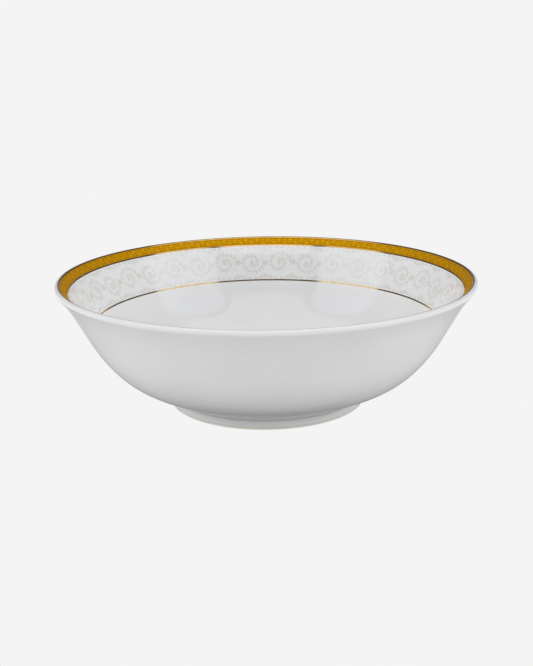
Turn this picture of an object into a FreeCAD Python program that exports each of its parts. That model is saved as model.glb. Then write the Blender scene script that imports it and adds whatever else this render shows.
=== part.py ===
import FreeCAD, Part
import math
import os

# Footed porcelain serving bowl with an encrusted gold border.
#
# Frame: millimetres, +Z up, origin at the centre of the foot ring's bearing plane.
# Every piece is turned about the Z axis, so each one is drawn as a closed outline in the
# radius-height plane. One continuous line, the glazed surface, runs from the middle of the
# floor, up the inside, over the lip, down the outside and down the foot. Body, glaze, printed
# border and gold all lie between exact parallels of that line.

# Driving dimensions of the glazed bowl
RIM_DIAMETER = 228.6
HEIGHT = 70.4
FLOOR_HEIGHT = 12.0
FOOT_RADIUS_AT_CREASE = 54.2
FOOT_CREASE_HEIGHT = 7.8

# Slopes of the wall, degrees above the horizontal
UNDERSIDE_SLOPE = 14.0
INNER_WELL_SLOPE = 21.0
BELLY_SLOPE = 47.3
OUTER_UPPER_SLOPE = 61.5
INNER_UPPER_SLOPE = 60.0
INNER_FLARE_SLOPE = 45.5
OUTER_FLARE_SLOPE = 50.0

# Bend radii of the wall, and the straight runs beside the lip
OUTER_BELLY_RADIUS = 47.5
OUTER_SHOULDER_RADIUS = 83.0
OUTER_FLARE_RADIUS = 70.0
INNER_WELL_RADIUS = 60.0
INNER_BELLY_RADIUS = 56.0
INNER_FLARE_RADIUS = 43.4
INNER_FLARE_RUN = 2.4
OUTER_FLARE_RUN = 0.8
LIP_RADIUS = 1.7

# Foot ring
CREASE_RADIUS = 1.2
FOOT_WAIST_SLOPE = 8.0
FOOT_WAIST_RADIUS = 15.0
FOOT_BOTTOM_ROUND = 1.3
FOOT_BEARING_WIDTH = 1.8
FOOT_INNER_DRAFT = 8.0
BARE_FOOT_MARGIN = 0.6

# Thickness of the fired coats
GLAZE = 0.3
DECAL = 0.1
GOLD_BAND_RELIEF = 0.2
GOLD_LINE = 0.12

# Widths of the decoration, measured along the wall from the inner edge of the lip
GOLD_BAND_WIDTH = 5.4
RIM_LINE_WIDTH = 1.3
BAND_LINE_WIDTH = 0.9
BORDER_WIDTH = 22.8
HAIRLINE_WIDTH = 0.9

# Headings of the section line, degrees, as it travels from the floor to the foot
LEVEL_OUTWARD = 0.0
LEVEL_INWARD = -180.0
STRAIGHT_DOWN = -90.0
FULL_TURN = 360.0

SHORTEST_STRETCH = 1e-6
RIM_LINE_ARC = 9.0

AXIS_POINT = FreeCAD.Vector(0, 0, 0)
AXIS_DIRECTION = FreeCAD.Vector(0, 0, 1)


class Stretch:
    """One straight or circular stretch of a section line, starting with a given heading."""

    def __init__(self, start, heading, length, turn=0.0):
        self.start = start
        self.heading = heading
        self.length = length
        self.turn = turn

    def heading_at(self, distance):
        return self.heading + self.turn * distance / self.length

    def point(self, distance):
        """Place on the stretch at a distance along it: a chord at half the turn so far."""
        half_turn = math.radians(self.turn * distance / self.length) / 2.0
        chord = distance
        if half_turn:
            chord = distance * math.sin(half_turn) / half_turn
        angle = math.radians(self.heading) + half_turn
        return (self.start[0] + chord * math.cos(angle), self.start[1] + chord * math.sin(angle))

    def cut(self, first, last):
        """The part of the stretch between two distances along it."""
        span = last - first
        return Stretch(self.point(first), self.heading_at(first), span, self.turn * span / self.length)

    def shifted(self, offset):
        """Parallel stretch; a positive offset moves it to the left, to the glaze's open side."""
        angle = math.radians(self.heading)
        start = (self.start[0] - offset * math.sin(angle), self.start[1] + offset * math.cos(angle))
        return Stretch(start, self.heading, self.length - offset * math.radians(self.turn), self.turn)

    def edge(self):
        """The stretch as a line or arc edge in the X-Z plane."""
        first = vector(self.point(0))
        last = vector(self.point(self.length))
        if not self.turn:
            return Part.LineSegment(first, last).toShape()
        return Part.Arc(first, vector(self.point(self.length / 2.0)), last).toShape()


def vector(place):
    return FreeCAD.Vector(place[0], 0, place[1])


def run(length):
    """A straight step of a section line."""
    return ("run", length, None)


def bend(radius, heading):
    """A round step of a section line, ending on a new heading."""
    return ("bend", radius, heading)


def section(start, heading, steps):
    """Tangent chain of stretches through a list of steps."""
    stretches = []
    for kind, size, new_heading in steps:
        if kind == "run":
            stretch = Stretch(start, heading, size)
        else:
            turn = new_heading - heading
            stretch = Stretch(start, heading, size * math.radians(abs(turn)), turn)
            heading = new_heading
        stretches.append(stretch)
        start = stretch.point(stretch.length)
    return stretches


def end_point(stretches):
    return stretches[-1].point(stretches[-1].length)


def section_to(start, heading, make_steps, target):
    """Chain whose two free straight runs are solved so that it ends at the target."""
    trials = ((1.0, 1.0), (2.0, 1.0), (1.0, 2.0))
    ends = [end_point(section(start, heading, make_steps(*trial))) for trial in trials]
    first = (ends[1][0] - ends[0][0], ends[1][1] - ends[0][1])
    second = (ends[2][0] - ends[0][0], ends[2][1] - ends[0][1])
    gap = (target[0] - ends[0][0], target[1] - ends[0][1])
    scale = first[0] * second[1] - first[1] * second[0]
    first_run = 1.0 + (gap[0] * second[1] - gap[1] * second[0]) / scale
    second_run = 1.0 + (first[0] * gap[1] - first[1] * gap[0]) / scale
    return section(start, heading, make_steps(first_run, second_run))


def total(stretches):
    return sum(stretch.length for stretch in stretches)


def part_of(stretches, first, last):
    """The part of a chain between two distances along it."""
    parts = []
    travelled = 0.0
    for stretch in stretches:
        low = max(first - travelled, 0.0)
        high = min(last - travelled, stretch.length)
        if high - low > SHORTEST_STRETCH:
            parts.append(stretch.cut(low, high))
        travelled += stretch.length
    return parts


def in_short_arcs(stretches, most_turn):
    """The same chain, with each arc divided so that no piece turns further than most_turn degrees."""
    parts = []
    for stretch in stretches:
        count = max(1, math.ceil(abs(stretch.turn) / most_turn))
        length = stretch.length / count
        parts.extend(stretch.cut(k * length, (k + 1) * length) for k in range(count))
    return parts


def shifted(stretches, offset):
    return [stretch.shifted(offset) for stretch in stretches]


def turned(edges):
    """Solid of revolution of a closed outline."""
    face = Part.Face(Part.Wire(edges))
    return face.revolve(AXIS_POINT, AXIS_DIRECTION, FULL_TURN)


def closed_outline(stretches, corners):
    """Edges of a chain, closed through a list of corner places."""
    edges = [stretch.edge() for stretch in stretches]
    places = [end_point(stretches)] + corners + [stretches[0].point(0)]
    for first, last in zip(places, places[1:]):
        edges.append(Part.LineSegment(vector(first), vector(last)).toShape())
    return edges


def coat(stretches, lower, upper):
    """Solid of revolution between two parallels of a chain."""
    top = shifted(stretches, upper)
    bottom = shifted(stretches, lower)
    edges = [stretch.edge() for stretch in top]
    edges.append(Part.LineSegment(vector(end_point(top)), vector(end_point(bottom))).toShape())
    edges.extend(stretch.edge() for stretch in reversed(bottom))
    edges.append(Part.LineSegment(vector(bottom[0].point(0)), vector(top[0].point(0))).toShape())
    return turned(edges)


def lip_inner_point():
    """Where the lip's round meets the inner wall."""
    slope = math.radians(INNER_FLARE_SLOPE)
    radius = RIM_DIAMETER / 2.0 - LIP_RADIUS * (1.0 + math.sin(slope))
    return (radius, HEIGHT - LIP_RADIUS * (1.0 - math.cos(slope)))


def inner_steps(floor_run, upper_run):
    return [
        run(floor_run),
        bend(INNER_WELL_RADIUS, INNER_WELL_SLOPE),
        bend(INNER_BELLY_RADIUS, INNER_UPPER_SLOPE),
        run(upper_run),
        bend(INNER_FLARE_RADIUS, INNER_FLARE_SLOPE),
        run(INNER_FLARE_RUN),
    ]


def outer_steps(upper_run, lower_run):
    return [
        run(OUTER_FLARE_RUN),
        bend(OUTER_FLARE_RADIUS, OUTER_UPPER_SLOPE + LEVEL_INWARD),
        run(upper_run),
        bend(OUTER_SHOULDER_RADIUS, BELLY_SLOPE + LEVEL_INWARD),
        bend(OUTER_BELLY_RADIUS, UNDERSIDE_SLOPE + LEVEL_INWARD),
        run(lower_run),
        bend(CREASE_RADIUS, STRAIGHT_DOWN - FOOT_WAIST_SLOPE),
    ]


def inner_section():
    """Glazed surface from the middle of the floor to the inner edge of the lip."""
    start = (0.0, FLOOR_HEIGHT)
    return section_to(start, LEVEL_OUTWARD, inner_steps, lip_inner_point())


def lip_section():
    """Round of the lip, from the inner wall over the top to the outer wall."""
    steps = [bend(LIP_RADIUS, OUTER_FLARE_SLOPE + LEVEL_INWARD)]
    return section(lip_inner_point(), INNER_FLARE_SLOPE, steps)


def outer_section():
    """Glazed surface from the outer edge of the lip to the lower end of the foot's crease."""
    heading = OUTER_FLARE_SLOPE + LEVEL_INWARD
    target = (FOOT_RADIUS_AT_CREASE, FOOT_CREASE_HEIGHT)
    return section_to(end_point(LIP), heading, outer_steps, target)


def foot_section():
    """Outside of the foot below the crease, waisted, down to the round of its bottom edge."""
    waist_turn = 2.0 * math.radians(FOOT_WAIST_SLOPE)
    drop = 2.0 * FOOT_WAIST_RADIUS * math.sin(waist_turn / 2.0)
    foot_heading = STRAIGHT_DOWN + FOOT_WAIST_SLOPE
    round_drop = FOOT_BOTTOM_ROUND * (1.0 - math.cos(math.radians(90.0 + FOOT_WAIST_SLOPE)))
    lower_run = (FOOT_CREASE_HEIGHT - drop - round_drop) / math.cos(math.radians(FOOT_WAIST_SLOPE))
    steps = [bend(FOOT_WAIST_RADIUS, foot_heading), run(lower_run)]
    start = (FOOT_RADIUS_AT_CREASE, FOOT_CREASE_HEIGHT)
    return section(start, STRAIGHT_DOWN - FOOT_WAIST_SLOPE, steps)


INNER = inner_section()
LIP = lip_section()
OUTER = outer_section()
FOOT = foot_section()

# Distances along the whole section line
LIP_INNER_EDGE = total(INNER)
LIP_OUTER_EDGE = LIP_INNER_EDGE + total(LIP)
FOOT_JOINT = LIP_OUTER_EDGE + total(OUTER)
SECTION = INNER + LIP + OUTER + FOOT


def bare_foot_round():
    """Unglazed stretch of the foot: bottom edge, bearing face and inner face, clay surface."""
    clay = shifted(FOOT, -GLAZE)
    steps = [
        bend(FOOT_BOTTOM_ROUND, LEVEL_INWARD),
        run(FOOT_BEARING_WIDTH),
        bend(FOOT_BOTTOM_ROUND, LEVEL_INWARD + STRAIGHT_DOWN + FOOT_INNER_DRAFT),
    ]
    return section(end_point(clay), clay[-1].heading, steps)


def joint_place():
    """Outer end of the flat joint between the foot ring and the body."""
    return end_point(shifted(part_of(SECTION, 0.0, FOOT_JOINT), -GLAZE))


def foot_inner_face():
    """Clay surface of the ring's inner face, from its bottom round up to the joint."""
    below = bare_foot_round()
    start = end_point(below)
    heading = LEVEL_INWARD + STRAIGHT_DOWN + FOOT_INNER_DRAFT
    rise = joint_place()[1] - start[1]
    return section(start, heading, [run(rise / math.cos(math.radians(FOOT_INNER_DRAFT)))])


def porcelain_body():
    """Bisque bowl: floor, wall and lip, with a flat underside where the foot ring is joined."""
    clay = shifted(part_of(SECTION, 0.0, FOOT_JOINT), -GLAZE)
    axis_foot = (0.0, joint_place()[1])
    return turned(closed_outline(clay, [axis_foot]))


def foot_ring():
    """Separately turned ring, joined to the flat underside with slip."""
    outside = shifted(part_of(SECTION, FOOT_JOINT, total(SECTION)), -GLAZE)
    return turned(closed_outline(outside + bare_foot_round() + foot_inner_face(), []))


def glaze_coat():
    """Clear glaze over the inside, the lip, the outside and the foot's outer side."""
    return coat(part_of(SECTION, 0.0, total(SECTION) - BARE_FOOT_MARGIN), -GLAZE, 0.0)


def base_glaze():
    """Clear glaze in the recess: up the ring's inner face and across the underside."""
    face = foot_inner_face()[0].cut(BARE_FOOT_MARGIN, foot_inner_face()[0].length)
    bottom = face.shifted(GLAZE)
    start = face.point(0)
    corner = face.point(face.length)
    glaze_ceiling = corner[1] - GLAZE
    glaze_corner = bottom.point(bottom.length - GLAZE / math.cos(math.radians(FOOT_INNER_DRAFT)))
    places = [start, corner, (0.0, corner[1]), (0.0, glaze_ceiling), glaze_corner, bottom.point(0), start]
    edges = [Part.LineSegment(vector(a), vector(b)).toShape() for a, b in zip(places, places[1:])]
    return turned(edges)


def ring_on_wall(outer_edge, width, thickness):
    """Fired coat on the inside, between two distances measured down from the lip's inner edge."""
    last = LIP_INNER_EDGE - outer_edge
    return coat(part_of(SECTION, last - width, last), 0.0, thickness)


def gold_band():
    return ring_on_wall(0.0, GOLD_BAND_WIDTH, GOLD_BAND_RELIEF)


def gold_rim_line():
    """Line on the lip's round, in short arcs so that so thin a coat keeps its volume in a mesh."""
    line = part_of(SECTION, LIP_INNER_EDGE, LIP_INNER_EDGE + RIM_LINE_WIDTH)
    return coat(in_short_arcs(line, RIM_LINE_ARC), 0.0, GOLD_LINE)


def gold_band_line():
    return ring_on_wall(GOLD_BAND_WIDTH, BAND_LINE_WIDTH, GOLD_LINE)


def border_decal():
    return ring_on_wall(GOLD_BAND_WIDTH + BAND_LINE_WIDTH, BORDER_WIDTH, DECAL)


def gold_hairline():
    above = GOLD_BAND_WIDTH + BAND_LINE_WIDTH + BORDER_WIDTH
    return ring_on_wall(above, HAIRLINE_WIDTH, GOLD_LINE)


SUB_PARTS = [
    porcelain_body,
    foot_ring,
    glaze_coat,
    base_glaze,
    border_decal,
    gold_band,
    gold_rim_line,
    gold_band_line,
    gold_hairline,
]

os.makedirs("parts", exist_ok=True)
for make_part in SUB_PARTS:
    shape = make_part()
    shape.exportStep("parts/" + make_part.__name__ + ".step")
    box = shape.BoundBox
    print(make_part.__name__, shape.isValid(), "volume", round(shape.Volume, 1),
          "radius", round(box.XMax, 2), "height", round(box.ZMin, 2), "to", round(box.ZMax, 2))
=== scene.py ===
import math
import random

import bmesh
import bpy
import numpy as np
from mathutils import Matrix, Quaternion, Vector


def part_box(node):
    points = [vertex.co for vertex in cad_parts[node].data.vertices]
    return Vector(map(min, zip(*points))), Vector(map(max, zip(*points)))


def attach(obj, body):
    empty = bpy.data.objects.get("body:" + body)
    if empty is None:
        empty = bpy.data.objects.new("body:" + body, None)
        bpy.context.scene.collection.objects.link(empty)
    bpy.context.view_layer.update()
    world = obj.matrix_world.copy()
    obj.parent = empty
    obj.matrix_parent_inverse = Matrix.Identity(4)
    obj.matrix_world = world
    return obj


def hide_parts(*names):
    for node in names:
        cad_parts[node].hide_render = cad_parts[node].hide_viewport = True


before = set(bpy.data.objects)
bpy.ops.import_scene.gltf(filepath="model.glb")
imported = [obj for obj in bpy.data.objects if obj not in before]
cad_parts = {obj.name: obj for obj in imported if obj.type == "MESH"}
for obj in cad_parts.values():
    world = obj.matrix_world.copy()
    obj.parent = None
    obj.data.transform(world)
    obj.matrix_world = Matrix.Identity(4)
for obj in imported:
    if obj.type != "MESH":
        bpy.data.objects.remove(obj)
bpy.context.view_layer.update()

MM = 0.001
ROOT = "root"

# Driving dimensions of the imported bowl, millimetres and degrees
RIM_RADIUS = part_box("glaze_coat")[1].x / MM
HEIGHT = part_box("glaze_coat")[1].z / MM
FLOOR_HEIGHT = 12.0
FOOT_RADIUS = 54.2
CREASE_HEIGHT = 7.8
UNDERSIDE_SLOPE = 14.0
INNER_WELL_SLOPE = 21.0
BELLY_SLOPE = 47.3
OUTER_UPPER_SLOPE = 61.5
INNER_UPPER_SLOPE = 60.0
INNER_FLARE_SLOPE = 45.5
OUTER_FLARE_SLOPE = 50.0
OUTER_BELLY_RADIUS = 47.5
OUTER_SHOULDER_RADIUS = 83.0
OUTER_FLARE_RADIUS = 70.0
INNER_WELL_RADIUS = 60.0
INNER_BELLY_RADIUS = 56.0
INNER_FLARE_RADIUS = 43.4
INNER_FLARE_RUN = 2.4
OUTER_FLARE_RUN = 0.8
LIP_RADIUS = 1.7
CREASE_RADIUS = 1.2
FOOT_WAIST_SLOPE = 8.0
FOOT_WAIST_RADIUS = 15.0
FOOT_BOTTOM_ROUND = 1.3
BARE_FOOT_MARGIN = 0.6

# Thickness of the glaze, and widths of the decoration along the wall
GLAZE = 0.3
GOLD_BAND_WIDTH = 5.4
RIM_LINE_WIDTH = 1.3
BAND_LINE_WIDTH = 0.9
BORDER_WIDTH = 22.8
HAIRLINE_WIDTH = 0.9

# Thickness of the print and gold lines, thinner than the CAD coats that they stand for
GOLD_LINE_FILM = 0.05
RIM_LINE_FILM = 0.02
GROUND_FILM = 0.04
SCROLL_FILM = 0.09

SMOOTH_TURNS = 540
ARC_STEP = 4.0
SAME_PLACE = 1e-5


# ---------------------------------------------------------------- section line

class Stretch:
    """One straight or circular stretch of a section line, with a start, a heading and a turn."""

    def __init__(self, start, heading, length, turn=0.0):
        self.start = start
        self.heading = heading
        self.length = length
        self.turn = turn

    def heading_at(self, distance):
        return self.heading + self.turn * distance / self.length

    def point(self, distance):
        half_turn = math.radians(self.turn * distance / self.length) / 2.0
        chord = distance
        if half_turn:
            chord = distance * math.sin(half_turn) / half_turn
        angle = math.radians(self.heading) + half_turn
        return (self.start[0] + chord * math.cos(angle), self.start[1] + chord * math.sin(angle))


def run(length):
    """Straight step of a section line."""
    return ("run", length, None)


def bend(radius, heading):
    """Round step of a section line, turning to a new heading."""
    return ("bend", radius, heading)


def section(start, heading, steps):
    """Tangent chain of stretches through a list of steps."""
    stretches = []
    for kind, size, new_heading in steps:
        if kind == "run":
            stretch = Stretch(start, heading, size)
        else:
            turn = new_heading - heading
            stretch = Stretch(start, heading, size * math.radians(abs(turn)), turn)
            heading = new_heading
        stretches.append(stretch)
        start = stretch.point(stretch.length)
    return stretches


def end_point(stretches):
    return stretches[-1].point(stretches[-1].length)


def section_to(start, heading, make_steps, target):
    """Chain whose two free straight runs are solved so that it ends at the target."""
    trials = ((1, 1), (2, 1), (1, 2))
    ends = [end_point(section(start, heading, make_steps(*trial))) for trial in trials]
    origin, first, second = (np.array(end) for end in ends)
    runs = np.linalg.solve(np.array([first - origin, second - origin]).T, np.array(target) - origin)
    return section(start, heading, make_steps(1.0 + runs[0], 1.0 + runs[1]))


def total(stretches):
    return sum(stretch.length for stretch in stretches)


def lip_inner_point():
    slope = math.radians(INNER_FLARE_SLOPE)
    radius = RIM_RADIUS - LIP_RADIUS * (1.0 + math.sin(slope))
    return (radius, HEIGHT - LIP_RADIUS * (1.0 - math.cos(slope)))


def inner_steps(floor_run, upper_run):
    return [
        run(floor_run),
        bend(INNER_WELL_RADIUS, INNER_WELL_SLOPE),
        bend(INNER_BELLY_RADIUS, INNER_UPPER_SLOPE),
        run(upper_run),
        bend(INNER_FLARE_RADIUS, INNER_FLARE_SLOPE),
        run(INNER_FLARE_RUN),
    ]


def outer_steps(upper_run, lower_run):
    return [
        run(OUTER_FLARE_RUN),
        bend(OUTER_FLARE_RADIUS, OUTER_UPPER_SLOPE - 180.0),
        run(upper_run),
        bend(OUTER_SHOULDER_RADIUS, BELLY_SLOPE - 180.0),
        bend(OUTER_BELLY_RADIUS, UNDERSIDE_SLOPE - 180.0),
        run(lower_run),
        bend(CREASE_RADIUS, -90.0 - FOOT_WAIST_SLOPE),
    ]


def foot_section():
    drop = 2.0 * FOOT_WAIST_RADIUS * math.sin(math.radians(FOOT_WAIST_SLOPE))
    round_drop = FOOT_BOTTOM_ROUND * (1.0 - math.cos(math.radians(90.0 + FOOT_WAIST_SLOPE)))
    lower_run = (CREASE_HEIGHT - drop - round_drop) / math.cos(math.radians(FOOT_WAIST_SLOPE))
    steps = [bend(FOOT_WAIST_RADIUS, -90.0 + FOOT_WAIST_SLOPE), run(lower_run)]
    return section((FOOT_RADIUS, CREASE_HEIGHT), -90.0 - FOOT_WAIST_SLOPE, steps)


INNER = section_to((0.0, FLOOR_HEIGHT), 0.0, inner_steps, lip_inner_point())
LIP = section(lip_inner_point(), INNER_FLARE_SLOPE, [bend(LIP_RADIUS, OUTER_FLARE_SLOPE - 180.0)])
OUTER = section_to(end_point(LIP), OUTER_FLARE_SLOPE - 180.0, outer_steps, (FOOT_RADIUS, CREASE_HEIGHT))
SECTION = INNER + LIP + OUTER + foot_section()
LIP_INNER_EDGE = total(INNER)


def on_section(distance, offset=0.0):
    """Radius and height at a distance along the glazed surface, moved out by an offset."""
    for stretch in SECTION:
        if distance <= stretch.length:
            break
        distance -= stretch.length
    distance = min(distance, stretch.length)
    heading = math.radians(stretch.heading_at(distance))
    radius, height = stretch.point(distance)
    return (radius - offset * math.sin(heading), height + offset * math.cos(heading))


def marks_between(first, last, step):
    """Distances along the section from first to last, no further apart than step, closer on arcs."""
    marks = [first]
    travelled = 0.0
    for stretch in SECTION:
        low = max(first, travelled)
        high = min(last, travelled + stretch.length)
        if high > low + SAME_PLACE:
            turned = abs(stretch.turn) * (high - low) / stretch.length
            count = max(1, math.ceil((high - low) / step), math.ceil(turned / ARC_STEP))
            marks.extend(low + (high - low) * (i + 1) / count for i in range(count))
        travelled += stretch.length
    return marks


# ---------------------------------------------------------------- pieces of mesh

def add_piece(name, mesh, material):
    data = bpy.data.meshes.new(name)
    mesh.to_mesh(data)
    mesh.free()
    data.materials.append(material)
    piece = bpy.data.objects.new(name, data)
    bpy.context.scene.collection.objects.link(piece)
    return piece


def turned_piece(name, outlines, corners, material):
    """Closed piece from one closed outline for each step of a full turn.

    Every outline has the same number of places. A place on the axis becomes a single vertex.
    corners are the numbers of the places that are sharp edges.
    """
    mesh = bmesh.new()
    turns = len(outlines)
    rings = []
    for place in range(len(outlines[0])):
        if outlines[0][place][0] < SAME_PLACE:
            rings.append([mesh.verts.new((0.0, 0.0, outlines[0][place][1] * MM))])
            continue
        ring = []
        for step, outline in enumerate(outlines):
            angle = 2.0 * math.pi * step / turns
            radius, height = outline[place]
            corner = (radius * MM * math.cos(angle), radius * MM * math.sin(angle), height * MM)
            ring.append(mesh.verts.new(corner))
        rings.append(ring)
    for index, low in enumerate(rings):
        high = rings[(index + 1) % len(rings)]
        if len(low) == 1 and len(high) == 1:
            continue
        for k in range(turns):
            n = (k + 1) % turns
            if len(low) == 1:
                face = mesh.faces.new((low[0], high[n], high[k]))
            elif len(high) == 1:
                face = mesh.faces.new((low[k], low[n], high[0]))
            else:
                face = mesh.faces.new((low[k], low[n], high[n], high[k]))
            face.smooth = True
    bmesh.ops.recalc_face_normals(mesh, faces=mesh.faces)
    for corner in corners:
        ring = rings[corner]
        if len(ring) > 1:
            for k in range(turns):
                mesh.edges.get((ring[k], ring[(k + 1) % turns])).smooth = False
    return add_piece(name, mesh, material)


def coat(name, first, last, lower, upper, material, step=2.0):
    """Coat of even thickness on the section between two distances along it."""
    marks = marks_between(first, last, step)
    outline = [on_section(mark, upper) for mark in marks]
    outline += [on_section(mark, lower) for mark in reversed(marks)]
    corners = (0, len(marks) - 1, len(marks), 2 * len(marks) - 1)
    return turned_piece(name, [outline] * SMOOTH_TURNS, corners, material)


def wall_ring(name, outer_edge, width, thickness, material, step=0.5):
    """Coat on the inside, placed by its distances down from the lip's inner edge."""
    last = LIP_INNER_EDGE - outer_edge
    return coat(name, last - width, last, 0.0, thickness, material, step)


def stands_for(piece, node):
    """The piece rides on the bowl in place of a CAD node."""
    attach(piece, ROOT)
    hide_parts(node)


# ---------------------------------------------------------------- etched gold band

BAND_REPEATS = 96
STEPS_PER_REPEAT = 30
BAND_TURNS = BAND_REPEATS * STEPS_PER_REPEAT
BAND_ROWS = 27
GOLD_BAND_RADIUS = 109.0
REPEAT_SHAPE = 2.0 * math.pi * GOLD_BAND_RADIUS / BAND_REPEATS / GOLD_BAND_WIDTH
STEM_SWAY = 0.2
STEM_RIDGE = 0.055
BEAD_ROWS = (0.07, 0.93)
BEAD_RIDGE = 0.035
BAND_GROUND = 0.07
BAND_RISE = 0.13
GRAININESS = 0.3
BAND_SEED = 7
BEADS_PER_REPEAT = 6
RAISED = "raised"


def ridge(distance, width):
    """Rounded ridge: 1 on its centre line, fading to 0 at about twice its width."""
    return np.exp(-(distance / width) ** 2)


def leaf_blob(along, across, centre, tilt, length, width):
    """Raised leaf: a tilted oval blob, in repeats along the band and band widths across it."""
    x = (along - centre[0] - np.round(along - centre[0])) * REPEAT_SHAPE
    y = across - centre[1]
    lengthwise = x * math.cos(tilt) + y * math.sin(tilt)
    sideways = y * math.cos(tilt) - x * math.sin(tilt)
    return np.exp(-((lengthwise / length) ** 2 + (sideways / width) ** 2) ** 2)


def band_leaves(side):
    """Centre, tilt, length and width of the leaves on one side of the stem in one repeat."""
    along = 0.25 * side
    across = 0.5 - 0.12 * side
    return (
        ((along, across), 0.6 * side, 0.2, 0.09),
        ((along + 0.13, across - 0.08 * side), -0.5 * side, 0.14, 0.06),
        ((along - 0.14, across - 0.1 * side), 1.2 * side, 0.12, 0.055),
        ((along + 0.5, 0.5 + 0.33 * side), 0.1, 0.1, 0.05),
    )


def band_relief():
    """Etched running leaf scroll, 0 in the hollows and 1 on top, a row for each step of the turn."""
    steps = np.arange(BAND_TURNS) * BAND_REPEATS / BAND_TURNS
    along, across = np.meshgrid(steps, np.linspace(0.0, 1.0, BAND_ROWS), indexing="ij")
    wave = np.sin(2.0 * math.pi * along)
    relief = ridge(across - 0.5 - STEM_SWAY * wave, STEM_RIDGE)
    for side in (1.0, -1.0):
        for centre, tilt, length, width in band_leaves(side):
            relief = np.maximum(relief, leaf_blob(along, across, centre, tilt, length, width))
    beads = np.abs(np.sin(math.pi * BEADS_PER_REPEAT * along))
    for row in BEAD_ROWS:
        relief = np.maximum(relief, beads * ridge(across - row, BEAD_RIDGE))
    grains = np.random.default_rng(BAND_SEED).uniform(-1.0, 1.0, relief.shape)
    grains = (grains + np.roll(grains, 1, axis=0)) / 2.0
    return np.clip(relief + GRAININESS * grains, 0.0, 1.0)


def etched_band(name, material):
    """Gold band with the relief on its face, and the relief's height kept as an attribute."""
    marks = np.linspace(LIP_INNER_EDGE - GOLD_BAND_WIDTH, LIP_INNER_EDGE, BAND_ROWS)
    low = [np.array(on_section(mark)) for mark in marks]
    out = [np.array(on_section(mark, 1.0)) - place for mark, place in zip(marks, low)]
    edges = [tuple(low[-1]), tuple(low[0])]
    relief = band_relief()
    outlines = []
    for raised in relief:
        heights = BAND_GROUND + BAND_RISE * raised
        top = [tuple(low[row] + out[row] * height) for row, height in enumerate(heights)]
        outlines.append(top + edges)
    band = turned_piece(name, outlines, (0, BAND_ROWS - 1, BAND_ROWS, BAND_ROWS + 1), material)
    values = np.zeros((BAND_ROWS + len(edges), BAND_TURNS))
    values[:BAND_ROWS] = relief.T
    attribute = band.data.attributes.new(RAISED, "FLOAT", "POINT")
    attribute.data.foreach_set("value", values.ravel())
    return band


# ---------------------------------------------------------------- printed scroll border

BORDER_REPEATS = 36
BORDER_TOP = GOLD_BAND_WIDTH + BAND_LINE_WIDTH
BORDER_MIDDLE_RADIUS = on_section(LIP_INNER_EDGE - BORDER_TOP - BORDER_WIDTH / 2.0)[0]
REPEAT_WIDTH = 2.0 * math.pi * BORDER_MIDDLE_RADIUS / BORDER_REPEATS
LEAF_SIDES = 5
LEAF_FULLNESS = 0.75
DOT_SIDES = 8
DOTS_PER_REPEAT = 30
STEM_WIDTH = 0.42
BORDER_SEED = 11

# Spiral stem in the middle of each repeat
SPIRAL_OUTER_RADIUS = 7.4
SPIRAL_INNER_RADIUS = 1.7
SPIRAL_START = math.radians(200.0)
SPIRAL_TURNS = 1.45
SPIRAL_STEPS = 30
SPIRAL_LEAVES = 25
OUTWARD_LEAF_LENGTH = 2.9
OUTWARD_LEAF_WIDTH = 1.2
INWARD_LEAF_LENGTH = 2.1
INWARD_LEAF_WIDTH = 0.85

# Fans of leaves along both edges: place along the repeat, rise, heading, leaves and their length
EDGE_SPRAYS = (
    (0.2, 1.0, 75.0, 5, 3.8),
    (3.6, 0.7, 95.0, 4, 2.4),
    (6.6, 0.4, 60.0, 3, 2.1),
    (11.2, 0.4, 120.0, 3, 2.1),
    (14.6, 0.7, 85.0, 4, 2.4),
)


def leaf_outline(base, angle, length, width):
    """Pointed leaf from its base, in millimetres along the border and across it."""
    side = []
    for step in range(1, LEAF_SIDES):
        share = step / LEAF_SIDES
        side.append((share * length, width / 2.0 * math.sin(math.pi * share ** LEAF_FULLNESS)))
    places = [(0.0, 0.0)] + side + [(length, 0.0)] + [(x, -y) for x, y in reversed(side)]
    c, s = math.cos(angle), math.sin(angle)
    return [(base[0] + x * c - y * s, base[1] + x * s + y * c) for x, y in places]


def dot_outline(centre, radius):
    corners = [2.0 * math.pi * k / DOT_SIDES for k in range(DOT_SIDES)]
    return [(centre[0] + radius * math.cos(a), centre[1] + radius * math.sin(a)) for a in corners]


def spiral_place(share):
    """Place and outward angle on the scroll's stem; share runs from the outside in."""
    radius = SPIRAL_OUTER_RADIUS * (1.0 - share) + SPIRAL_INNER_RADIUS * share
    angle = SPIRAL_START - 2.0 * math.pi * SPIRAL_TURNS * share
    centre = (REPEAT_WIDTH / 2.0, BORDER_WIDTH / 2.0)
    return (centre[0] + radius * math.cos(angle), centre[1] + radius * math.sin(angle)), angle


def stem_strip():
    """Left and right edges of the scroll's stem, tapering inward."""
    pairs = []
    for step in range(SPIRAL_STEPS + 1):
        share = step / SPIRAL_STEPS
        place, angle = spiral_place(share)
        half = STEM_WIDTH / 2.0 * (1.2 - 0.6 * share)
        x = half * math.cos(angle)
        y = half * math.sin(angle)
        pairs.append(((place[0] + x, place[1] + y), (place[0] - x, place[1] - y)))
    return pairs


def spray(base, heading, spread, count, length, width):
    """Fan of leaves from one place, the outer ones smaller; heading and spread are in degrees."""
    leaves = []
    for k in range(count):
        turn = spread * (k / (count - 1) - 0.5)
        size = 1.0 - 0.35 * abs(turn) / spread
        leaves.append(leaf_outline(base, math.radians(heading + turn), length * size, width * size))
    return leaves


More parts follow.
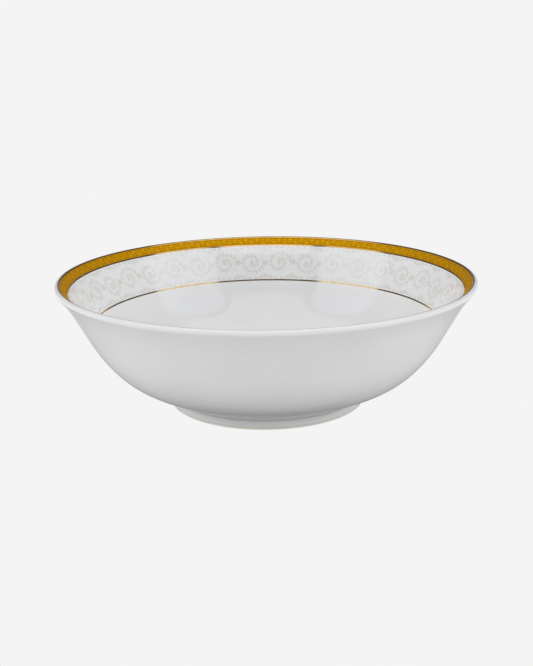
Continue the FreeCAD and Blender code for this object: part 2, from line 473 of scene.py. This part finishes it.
def spiral_leaves(chance):
    """Leaves on both sides of the stem, smaller towards its inner end."""
    leaves = []
    for step in range(1, SPIRAL_LEAVES):
        place, angle = spiral_place(step / SPIRAL_LEAVES)
        size = (1.0 - 0.4 * step / SPIRAL_LEAVES) * chance.uniform(0.85, 1.15)
        outward = angle - chance.uniform(0.7, 1.1)
        leaves.append(leaf_outline(place, outward, OUTWARD_LEAF_LENGTH * size, OUTWARD_LEAF_WIDTH * size))
        inward = angle + math.pi + chance.uniform(0.4, 1.0)
        leaves.append(leaf_outline(place, inward, INWARD_LEAF_LENGTH * size, INWARD_LEAF_WIDTH * size))
    return leaves


def scroll_islands():
    """Leaf, petal and dot outlines of one repeat of the border."""
    chance = random.Random(BORDER_SEED)
    islands = spiral_leaves(chance)
    islands += spray((REPEAT_WIDTH / 2.0, BORDER_WIDTH / 2.0), 0.0, 320.0, 7, 1.9, 0.9)
    for edge, inward in ((0.0, 1.0), (BORDER_WIDTH, -1.0)):
        for x, rise, heading, count, length in EDGE_SPRAYS:
            islands += spray((x, edge + inward * rise), inward * heading, 130.0, count, length, 1.05)
    islands += spray((0.0, BORDER_WIDTH / 2.0), 90.0, 300.0, 8, 2.6, 1.1)
    for k in range(DOTS_PER_REPEAT):
        x = REPEAT_WIDTH * (k + chance.uniform(0.2, 0.8)) / DOTS_PER_REPEAT
        y = chance.uniform(0.5, BORDER_WIDTH - 0.5)
        islands.append(dot_outline((x, y), chance.uniform(0.18, 0.34)))
    return islands


def border_corner(mesh, place, repeat, mirrored, offset):
    """Vertex on the wall at a place in one repeat, every other repeat being upside down."""
    x, y = place
    if mirrored:
        y = BORDER_WIDTH - y
    angle = 2.0 * math.pi * repeat / BORDER_REPEATS + x / BORDER_MIDDLE_RADIUS
    radius, height = on_section(LIP_INNER_EDGE - BORDER_TOP - BORDER_WIDTH + y, offset)
    return mesh.verts.new((radius * MM * math.cos(angle), radius * MM * math.sin(angle), height * MM))


def raise_island(mesh, outline, repeat, mirrored):
    """Thin closed solid over an outline on the wall."""
    top = [border_corner(mesh, place, repeat, mirrored, SCROLL_FILM) for place in outline]
    bottom = [border_corner(mesh, place, repeat, mirrored, 0.0) for place in outline]
    mesh.faces.new(top)
    mesh.faces.new(list(reversed(bottom)))
    for k in range(len(outline)):
        n = (k + 1) % len(outline)
        mesh.faces.new((top[n], top[k], bottom[k], bottom[n]))


def raise_strip(mesh, pairs, repeat, mirrored):
    """Thin closed solid along a strip given by pairs of places on its two edges."""
    rings = []
    for left, right in pairs:
        corners = [(left, SCROLL_FILM), (right, SCROLL_FILM), (right, 0.0), (left, 0.0)]
        rings.append([border_corner(mesh, place, repeat, mirrored, film) for place, film in corners])
    for low, high in zip(rings, rings[1:]):
        for k in range(4):
            n = (k + 1) % 4
            mesh.faces.new((low[k], low[n], high[n], high[k]))
    mesh.faces.new(list(reversed(rings[0])))
    mesh.faces.new(rings[-1])


def scroll_border(name, material):
    """All the repeats of the printed scroll as one piece."""
    mesh = bmesh.new()
    islands = scroll_islands()
    pairs = stem_strip()
    for repeat in range(BORDER_REPEATS):
        mirrored = repeat % 2 == 1
        raise_strip(mesh, pairs, repeat, mirrored)
        for outline in islands:
            raise_island(mesh, outline, repeat, mirrored)
    bmesh.ops.recalc_face_normals(mesh, faces=mesh.faces)
    return add_piece(name, mesh, material)


# ---------------------------------------------------------------- materials

def new_material(name):
    material = bpy.data.materials.new(name)
    material.use_nodes = True
    return material, material.node_tree, material.node_tree.nodes["Principled BSDF"]


def add_noise(tree, scale, detail=3.0):
    """Fractal noise in object space; scale is in waves per metre."""
    coords = tree.nodes.new("ShaderNodeTexCoord")
    noise = tree.nodes.new("ShaderNodeTexNoise")
    noise.inputs["Scale"].default_value = scale
    noise.inputs["Detail"].default_value = detail
    tree.links.new(coords.outputs["Object"], noise.inputs["Vector"])
    return noise.outputs["Fac"]


def add_ramp(tree, value, stops):
    """Colour ramp through (position, colour) stops."""
    ramp = tree.nodes.new("ShaderNodeValToRGB")
    elements = ramp.color_ramp.elements
    while len(elements) < len(stops):
        elements.new(0.5)
    for element, (position, colour) in zip(elements, stops):
        element.position = position
        element.color = tuple(colour) + (1.0,)
    tree.links.new(value, ramp.inputs["Fac"])
    return ramp.outputs["Color"]


def add_range(tree, value, low, high, new_low, new_high):
    """A value between low and high brought to between two new limits."""
    remap = tree.nodes.new("ShaderNodeMapRange")
    for name, number in (("From Min", low), ("From Max", high), ("To Min", new_low), ("To Max", new_high)):
        remap.inputs[name].default_value = number
    tree.links.new(value, remap.inputs["Value"])
    return remap.outputs["Result"]


def mix_colours(tree, kind, first, second):
    """Two colours multiplied or added; a Mix node's colour sockets come after those for numbers."""
    mix = tree.nodes.new("ShaderNodeMix")
    mix.data_type = "RGBA"
    mix.blend_type = kind
    mix.inputs[0].default_value = 1.0
    tree.links.new(first, mix.inputs[6])
    tree.links.new(second, mix.inputs[7])
    return mix.outputs[2]


def add_height(tree):
    """Height in a piece's own space, in metres."""
    coords = tree.nodes.new("ShaderNodeTexCoord")
    split = tree.nodes.new("ShaderNodeSeparateXYZ")
    tree.links.new(coords.outputs["Object"], split.inputs[0])
    return split.outputs["Z"]


def add_bump(tree, shader, value, depth):
    """Bump from a 0 to 1 value; depth is in metres."""
    node = tree.nodes.new("ShaderNodeBump")
    node.inputs["Distance"].default_value = depth
    node.inputs["Strength"].default_value = 1.0
    tree.links.new(value, node.inputs["Height"])
    tree.links.new(node.outputs["Normal"], shader.inputs["Normal"])


GLASSY_IOR = 1.5
WORN_HEIGHT = 1.5

# Depth of the finest unevenness, in metres
GLAZE_RIPPLE = 0.000008
BISQUE_GRAIN = 0.00005
GOLD_GRAIN = 0.00003

# Painted shade on the glaze round the foot's crease and on the foot below it: height in millimetres, share
# of light sent back
CREASE_SHADE_TOP = 20.0
CREASE_SHADE_WARMTH = 1.08
CREASE_PAINTED_SHADES = (
    (4.5, 1.00),
    (5.0, 0.76),
    (5.6, 0.76),
    (6.1, 0.93),
    (7.3, 0.93),
    (7.8, 0.68),
    (9.5, 0.68),
    (12.0, 0.70),
    (14.0, 0.76),
    (17.0, 0.93),
    (20.0, 1.00),
)


def glaze_material():
    """White porcelain glaze: faint cloudy tint, painted shade greying it round the foot's crease, fine
    ripple.
    """
    material, tree, shader = new_material("white_glaze")
    cloud = add_noise(tree, 45.0)
    tint = add_ramp(tree, cloud, [(0.3, (0.855, 0.86, 0.858)), (0.7, (0.885, 0.885, 0.882))])
    # Painted shade: the glaze is greyed by height round the foot's crease, standing in for the shade that
    # falls there.
    level = add_range(tree, add_height(tree), 0.0, CREASE_SHADE_TOP * MM, 0.0, 1.0)
    stops = []
    for height, grey in CREASE_PAINTED_SHADES:
        stops.append((height / CREASE_SHADE_TOP, (grey, grey, 1.0 - CREASE_SHADE_WARMTH * (1.0 - grey))))
    painted_crease_shade = add_ramp(tree, level, stops)
    tree.links.new(mix_colours(tree, "MULTIPLY", tint, painted_crease_shade), shader.inputs["Base Color"])
    roughness = add_range(tree, add_noise(tree, 120.0), 0.3, 0.7, 0.03, 0.055)
    tree.links.new(roughness, shader.inputs["Roughness"])
    shader.inputs["IOR"].default_value = GLASSY_IOR
    add_bump(tree, shader, add_noise(tree, 90.0, 1.0), GLAZE_RIPPLE)
    return material


def bisque_material():
    """Bare fired porcelain: warm white, fine grain, greyed where the foot rubs on the table."""
    material, tree, shader = new_material("bare_bisque")
    grain = add_noise(tree, 1800.0, 6.0)
    tint = add_ramp(tree, grain, [(0.3, (0.66, 0.63, 0.58)), (0.7, (0.80, 0.78, 0.74))])
    wear = add_ramp(tree, add_range(tree, add_height(tree), 0.0, WORN_HEIGHT * MM, 0.0, 1.0), [
        (0.0, (0.72, 0.70, 0.67)),
        (0.35, (0.9, 0.89, 0.87)),
        (1.0, (1.0, 1.0, 1.0)),
    ])
    tree.links.new(mix_colours(tree, "MULTIPLY", tint, wear), shader.inputs["Base Color"])
    tree.links.new(add_range(tree, grain, 0.2, 0.8, 0.62, 0.85), shader.inputs["Roughness"])
    shader.inputs["IOR"].default_value = GLASSY_IOR
    add_bump(tree, shader, grain, BISQUE_GRAIN)
    return material


def satin_gold_material():
    """Etched gold of the band: raised parts burnished yellow, hollows matt and painted darker brown as
    shade.
    """
    material, tree, shader = new_material("satin_gold")
    raised = tree.nodes.new("ShaderNodeAttribute")
    raised.attribute_name = RAISED
    # Painted shade: the hollows of the relief are coloured darker brown and the raised parts lighter.
    tint = add_ramp(tree, raised.outputs["Fac"], [
        (0.0, (0.54, 0.24, 0.0006)),
        (0.45, (0.72, 0.345, 0.001)),
        (1.0, (0.98, 0.55, 0.002)),
    ])
    grain = add_noise(tree, 1800.0, 4.0)
    shade = add_ramp(tree, grain, [(0.3, (0.82, 0.80, 0.75)), (0.7, (1.0, 1.0, 1.0))])
    tree.links.new(mix_colours(tree, "MULTIPLY", tint, shade), shader.inputs["Base Color"])
    shader.inputs["Metallic"].default_value = 0.34
    shader.inputs["Specular Tint"].default_value = (1.0, 0.55, 0.0, 1.0)
    roughness = add_range(tree, raised.outputs["Fac"], 0.0, 1.0, 0.6, 0.38)
    tree.links.new(roughness, shader.inputs["Roughness"])
    add_bump(tree, shader, add_noise(tree, 3500.0, 2.0), GOLD_GRAIN)
    return material


def bright_gold_material():
    """Burnished gold of the fine lines, a little thinner and warmer in places."""
    material, tree, shader = new_material("bright_gold")
    patches = add_noise(tree, 300.0, 4.0)
    tint = add_ramp(tree, patches, [(0.35, (0.66, 0.42, 0.17)), (0.65, (0.80, 0.56, 0.26))])
    tree.links.new(tint, shader.inputs["Base Color"])
    shader.inputs["Metallic"].default_value = 1.0
    roughness = add_range(tree, add_noise(tree, 700.0), 0.3, 0.7, 0.08, 0.16)
    tree.links.new(roughness, shader.inputs["Roughness"])
    return material


def lustre_material():
    """Pearl lustre of the printed scrolls: ivory with a thin metallic sheen."""
    material, tree, shader = new_material("pearl_lustre")
    patches = add_noise(tree, 260.0, 4.0)
    tint = add_ramp(tree, patches, [(0.3, (0.80, 0.80, 0.75)), (0.7, (0.85, 0.85, 0.815))])
    tree.links.new(tint, shader.inputs["Base Color"])
    shader.inputs["Metallic"].default_value = 0.10
    roughness = add_range(tree, add_noise(tree, 500.0), 0.3, 0.7, 0.06, 0.12)
    tree.links.new(roughness, shader.inputs["Roughness"])
    shader.inputs["IOR"].default_value = GLASSY_IOR
    return material


# ---------------------------------------------------------------- the bowl

WHITE_GLAZE = glaze_material()
BISQUE = bisque_material()
SATIN_GOLD = satin_gold_material()
BRIGHT_GOLD = bright_gold_material()
LUSTRE = lustre_material()

glaze_end = total(SECTION) - BARE_FOOT_MARGIN
stands_for(coat("bowl_glaze", 0.0, glaze_end, -GLAZE, 0.0, WHITE_GLAZE), "glaze_coat")
stands_for(etched_band("etched_gold_band", SATIN_GOLD), "gold_band")
stands_for(
    wall_ring("bright_rim_line", -RIM_LINE_WIDTH, RIM_LINE_WIDTH, RIM_LINE_FILM, BRIGHT_GOLD),
    "gold_rim_line",
)
stands_for(
    wall_ring("bright_band_line", GOLD_BAND_WIDTH, BAND_LINE_WIDTH, GOLD_LINE_FILM, BRIGHT_GOLD),
    "gold_band_line",
)
stands_for(
    wall_ring("border_ground", BORDER_TOP, BORDER_WIDTH, GROUND_FILM, WHITE_GLAZE, 1.5),
    "border_decal",
)
stands_for(scroll_border("border_scrolls", LUSTRE), "border_decal")
stands_for(
    wall_ring("bright_hairline", BORDER_TOP + BORDER_WIDTH, HAIRLINE_WIDTH, GOLD_LINE_FILM, BRIGHT_GOLD),
    "gold_hairline",
)
for node, finish in (("porcelain_body", BISQUE), ("foot_ring", BISQUE), ("base_glaze", WHITE_GLAZE)):
    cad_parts[node].data.materials.clear()
    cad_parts[node].data.materials.append(finish)


# ---------------------------------------------------------------- camera

VIEW_DISTANCE = 0.5828
VIEW_ELEVATION = math.radians(15.93)
VIEW_ROLL = math.radians(-0.73)
AIM = Vector((-0.0001, 0.0, 0.0370))
FOCAL_LENGTH = 56.53
SENSOR_WIDTH = 36.0
NEAREST_SEEN = 0.01

camera_data = bpy.data.cameras.new("camera")
camera_data.lens = FOCAL_LENGTH
camera_data.sensor_width = SENSOR_WIDTH
camera_data.clip_start = NEAREST_SEEN
camera = bpy.data.objects.new("camera", camera_data)
bpy.context.scene.collection.objects.link(camera)
bpy.context.scene.camera = camera
back = Vector((0.0, -math.cos(VIEW_ELEVATION), math.sin(VIEW_ELEVATION)))
camera.location = AIM + back * VIEW_DISTANCE
camera.rotation_mode = "QUATERNION"
camera.rotation_quaternion = (-back).to_track_quat("-Z", "Y") @ Quaternion((0.0, 0.0, 1.0), VIEW_ROLL)


# ---------------------------------------------------------------- stage and light

PALE = 0.904
BLACK = (0.0, 0.0, 0.0)
WHITE = (1.0, 1.0, 1.0)
FLOOR_RADIUS = 60.0
FLOOR_SIDES = 128
PAPER_DEPTH = 0.0002
TABLE_DEPTH = 0.0004

# Light thrown up by the table: distance from the bowl's axis in metres, and grey
GLOW_REACH = 0.36
TABLE_GLOW = (
    (0.050, 1.45),
    (0.065, 0.05),
    (0.085, 0.04),
    (0.115, 1.00),
    (0.180, 0.50),
    (0.360, 0.95),
)


def glowing_material(name):
    """A material that only glows, its tree and its emission node."""
    material = bpy.data.materials.new(name)
    material.use_nodes = True
    tree = material.node_tree
    tree.nodes.clear()
    emission = tree.nodes.new("ShaderNodeEmission")
    output = tree.nodes.new("ShaderNodeOutputMaterial")
    tree.links.new(emission.outputs[0], output.inputs["Surface"])
    return material, tree, emission


def pale_material():
    """Backdrop paper: even pale glow."""
    material, _, emission = glowing_material("floor_pale")
    emission.inputs["Strength"].default_value = PALE
    return material


def table_material():
    """Table as the bowl's outside sees it: bright at the foot, dim under the belly, bright further out."""
    material, tree, emission = glowing_material("table_glow")
    coords = tree.nodes.new("ShaderNodeTexCoord")
    distance = tree.nodes.new("ShaderNodeVectorMath")
    distance.operation = "LENGTH"
    tree.links.new(coords.outputs["Object"], distance.inputs[0])
    share = add_range(tree, distance.outputs["Value"], 0.0, GLOW_REACH, 0.0, 1.0)
    stops = [(radius / GLOW_REACH, (grey, grey, grey)) for radius, grey in TABLE_GLOW]
    tree.links.new(add_ramp(tree, share, stops), emission.inputs["Color"])
    return material


def floor_disc(name, depth, material):
    """Wide flat disc a little below the bowl's foot."""
    mesh = bmesh.new()
    bmesh.ops.create_circle(mesh, cap_ends=True, segments=FLOOR_SIDES, radius=FLOOR_RADIUS)
    disc = add_piece(name, mesh, material)
    disc.location.z = -depth
    return disc


floor_seen = floor_disc("floor_seen", PAPER_DEPTH, pale_material())
floor_seen.visible_diffuse = False
floor_seen.visible_glossy = False
floor_seen.visible_shadow = False
floor_table = floor_disc("floor_table", TABLE_DEPTH, table_material())
floor_table.visible_camera = False
floor_table.visible_glossy = False


def direction(azimuth, elevation):
    """Unit vector; azimuth is measured from +Y towards +X, in degrees."""
    a = math.radians(azimuth)
    e = math.radians(elevation)
    return Vector((math.sin(a) * math.cos(e), math.cos(a) * math.cos(e), math.sin(e)))


def disc_mask(tree, view, centre, radius, edge):
    """1 inside a round patch of the surroundings, fading to 0 over its edge; sizes in degrees."""
    dot = tree.nodes.new("ShaderNodeVectorMath")
    dot.operation = "DOT_PRODUCT"
    dot.inputs[1].default_value = centre
    tree.links.new(view, dot.inputs[0])
    rim = math.cos(math.radians(radius + edge))
    full = math.cos(math.radians(radius - edge))
    fade = add_range(tree, dot.outputs["Value"], rim, full, 0.0, 1.0)
    fade.node.interpolation_type = "SMOOTHSTEP"
    return fade


def height_shade(tree, view, stops):
    """Grey by height of direction: stops are pairs of sine of elevation and grey."""
    split = tree.nodes.new("ShaderNodeSeparateXYZ")
    tree.links.new(view, split.inputs[0])
    level = add_range(tree, split.outputs["Z"], -1.0, 1.0, 0.0, 1.0)
    return add_ramp(tree, level, [((sine + 1.0) / 2.0, (grey, grey, grey)) for sine, grey in stops])


# Round lamps: direction, radius and soft edge in degrees, colour, and width of the black rim
UMBRELLA = (1.00, 1.10, 1.20)
OVERHEAD = (1.08, 1.08, 1.14)
UMBRELLA_RIM = 4.0
MIRRORED_LAMPS = (
    (direction(180, 86), 35.0, 1.5, OVERHEAD, 0.0),
    (direction(110.5, 43.5), 20.5, 0.7, UMBRELLA, UMBRELLA_RIM),
    (direction(-107.5, 43.5), 20.5, 0.7, UMBRELLA, UMBRELLA_RIM),
)
SIDE_FILL = (1.36, 1.36, 1.37)
HIGH_FILL = (0.66, 0.66, 0.70)
SOFT_LAMPS = (
    (direction(105, 8), 42.0, 25.0, SIDE_FILL, 0.0),
    (direction(-105, 8), 42.0, 25.0, SIDE_FILL, 0.0),
    (direction(90, 50), 25.0, 20.0, HIGH_FILL, 0.0),
    (direction(-90, 50), 25.0, 20.0, HIGH_FILL, 0.0),
)

# Greys of the room by sine of elevation: as reflections show it, and as matt surfaces feel it
MIRROR_GREYS = (
    (-1.0, 0.0),
    (-0.7, 0.34),
    (-0.4, 0.38),
    (-0.15, 0.95),
    (0.05, 0.32),
    (0.3, 0.12),
    (1.0, 0.12),
)
SOFT_GREYS = ((-1.0, 0.0), (0.2, 0.0), (0.5, 0.31), (1.0, 0.07))


def surroundings(tree, view, greys, lamps):
    """Grey by height with round lamps added; a lamp with a black rim hides what is behind it."""
    light = height_shade(tree, view, greys)
    for centre, radius, edge, colour, rim in lamps:
        if rim:
            hidden = disc_mask(tree, view, centre, radius + rim, edge)
            cover = add_ramp(tree, hidden, [(0.0, WHITE), (1.0, BLACK)])
            light = mix_colours(tree, "MULTIPLY", light, cover)
        shining = disc_mask(tree, view, centre, radius, edge)
        lamp = add_ramp(tree, shining, [(0.0, BLACK), (1.0, colour)])
        light = mix_colours(tree, "ADD", light, lamp)
    background = tree.nodes.new("ShaderNodeBackground")
    tree.links.new(light, background.inputs["Color"])
    return background.outputs[0]


def chosen_by(tree, ray, otherwise, shown):
    """One light for a kind of ray and another for the rest."""
    mix = tree.nodes.new("ShaderNodeMixShader")
    tree.links.new(ray, mix.inputs["Fac"])
    tree.links.new(otherwise, mix.inputs[1])
    tree.links.new(shown, mix.inputs[2])
    return mix.outputs[0]


def studio_light():
    """Even soft light for matt shading, round lamps in a dark room for reflections, pale backdrop."""
    world = bpy.data.worlds.new("studio")
    bpy.context.scene.world = world
    world.use_nodes = True
    tree = world.node_tree
    tree.nodes.clear()
    view = tree.nodes.new("ShaderNodeTexCoord").outputs["Generated"]
    path = tree.nodes.new("ShaderNodeLightPath")
    soft = surroundings(tree, view, SOFT_GREYS, SOFT_LAMPS)
    mirrored = surroundings(tree, view, MIRROR_GREYS, MIRRORED_LAMPS)
    pale = tree.nodes.new("ShaderNodeBackground")
    pale.inputs["Color"].default_value = WHITE + (1.0,)
    pale.inputs["Strength"].default_value = PALE
    light = chosen_by(tree, path.outputs["Is Glossy Ray"], soft, mirrored)
    light = chosen_by(tree, path.outputs["Is Camera Ray"], light, pale.outputs[0])
    output = tree.nodes.new("ShaderNodeOutputWorld")
    tree.links.new(light, output.inputs["Surface"])


studio_light()
bpy.context.scene.view_settings.view_transform = "Standard"
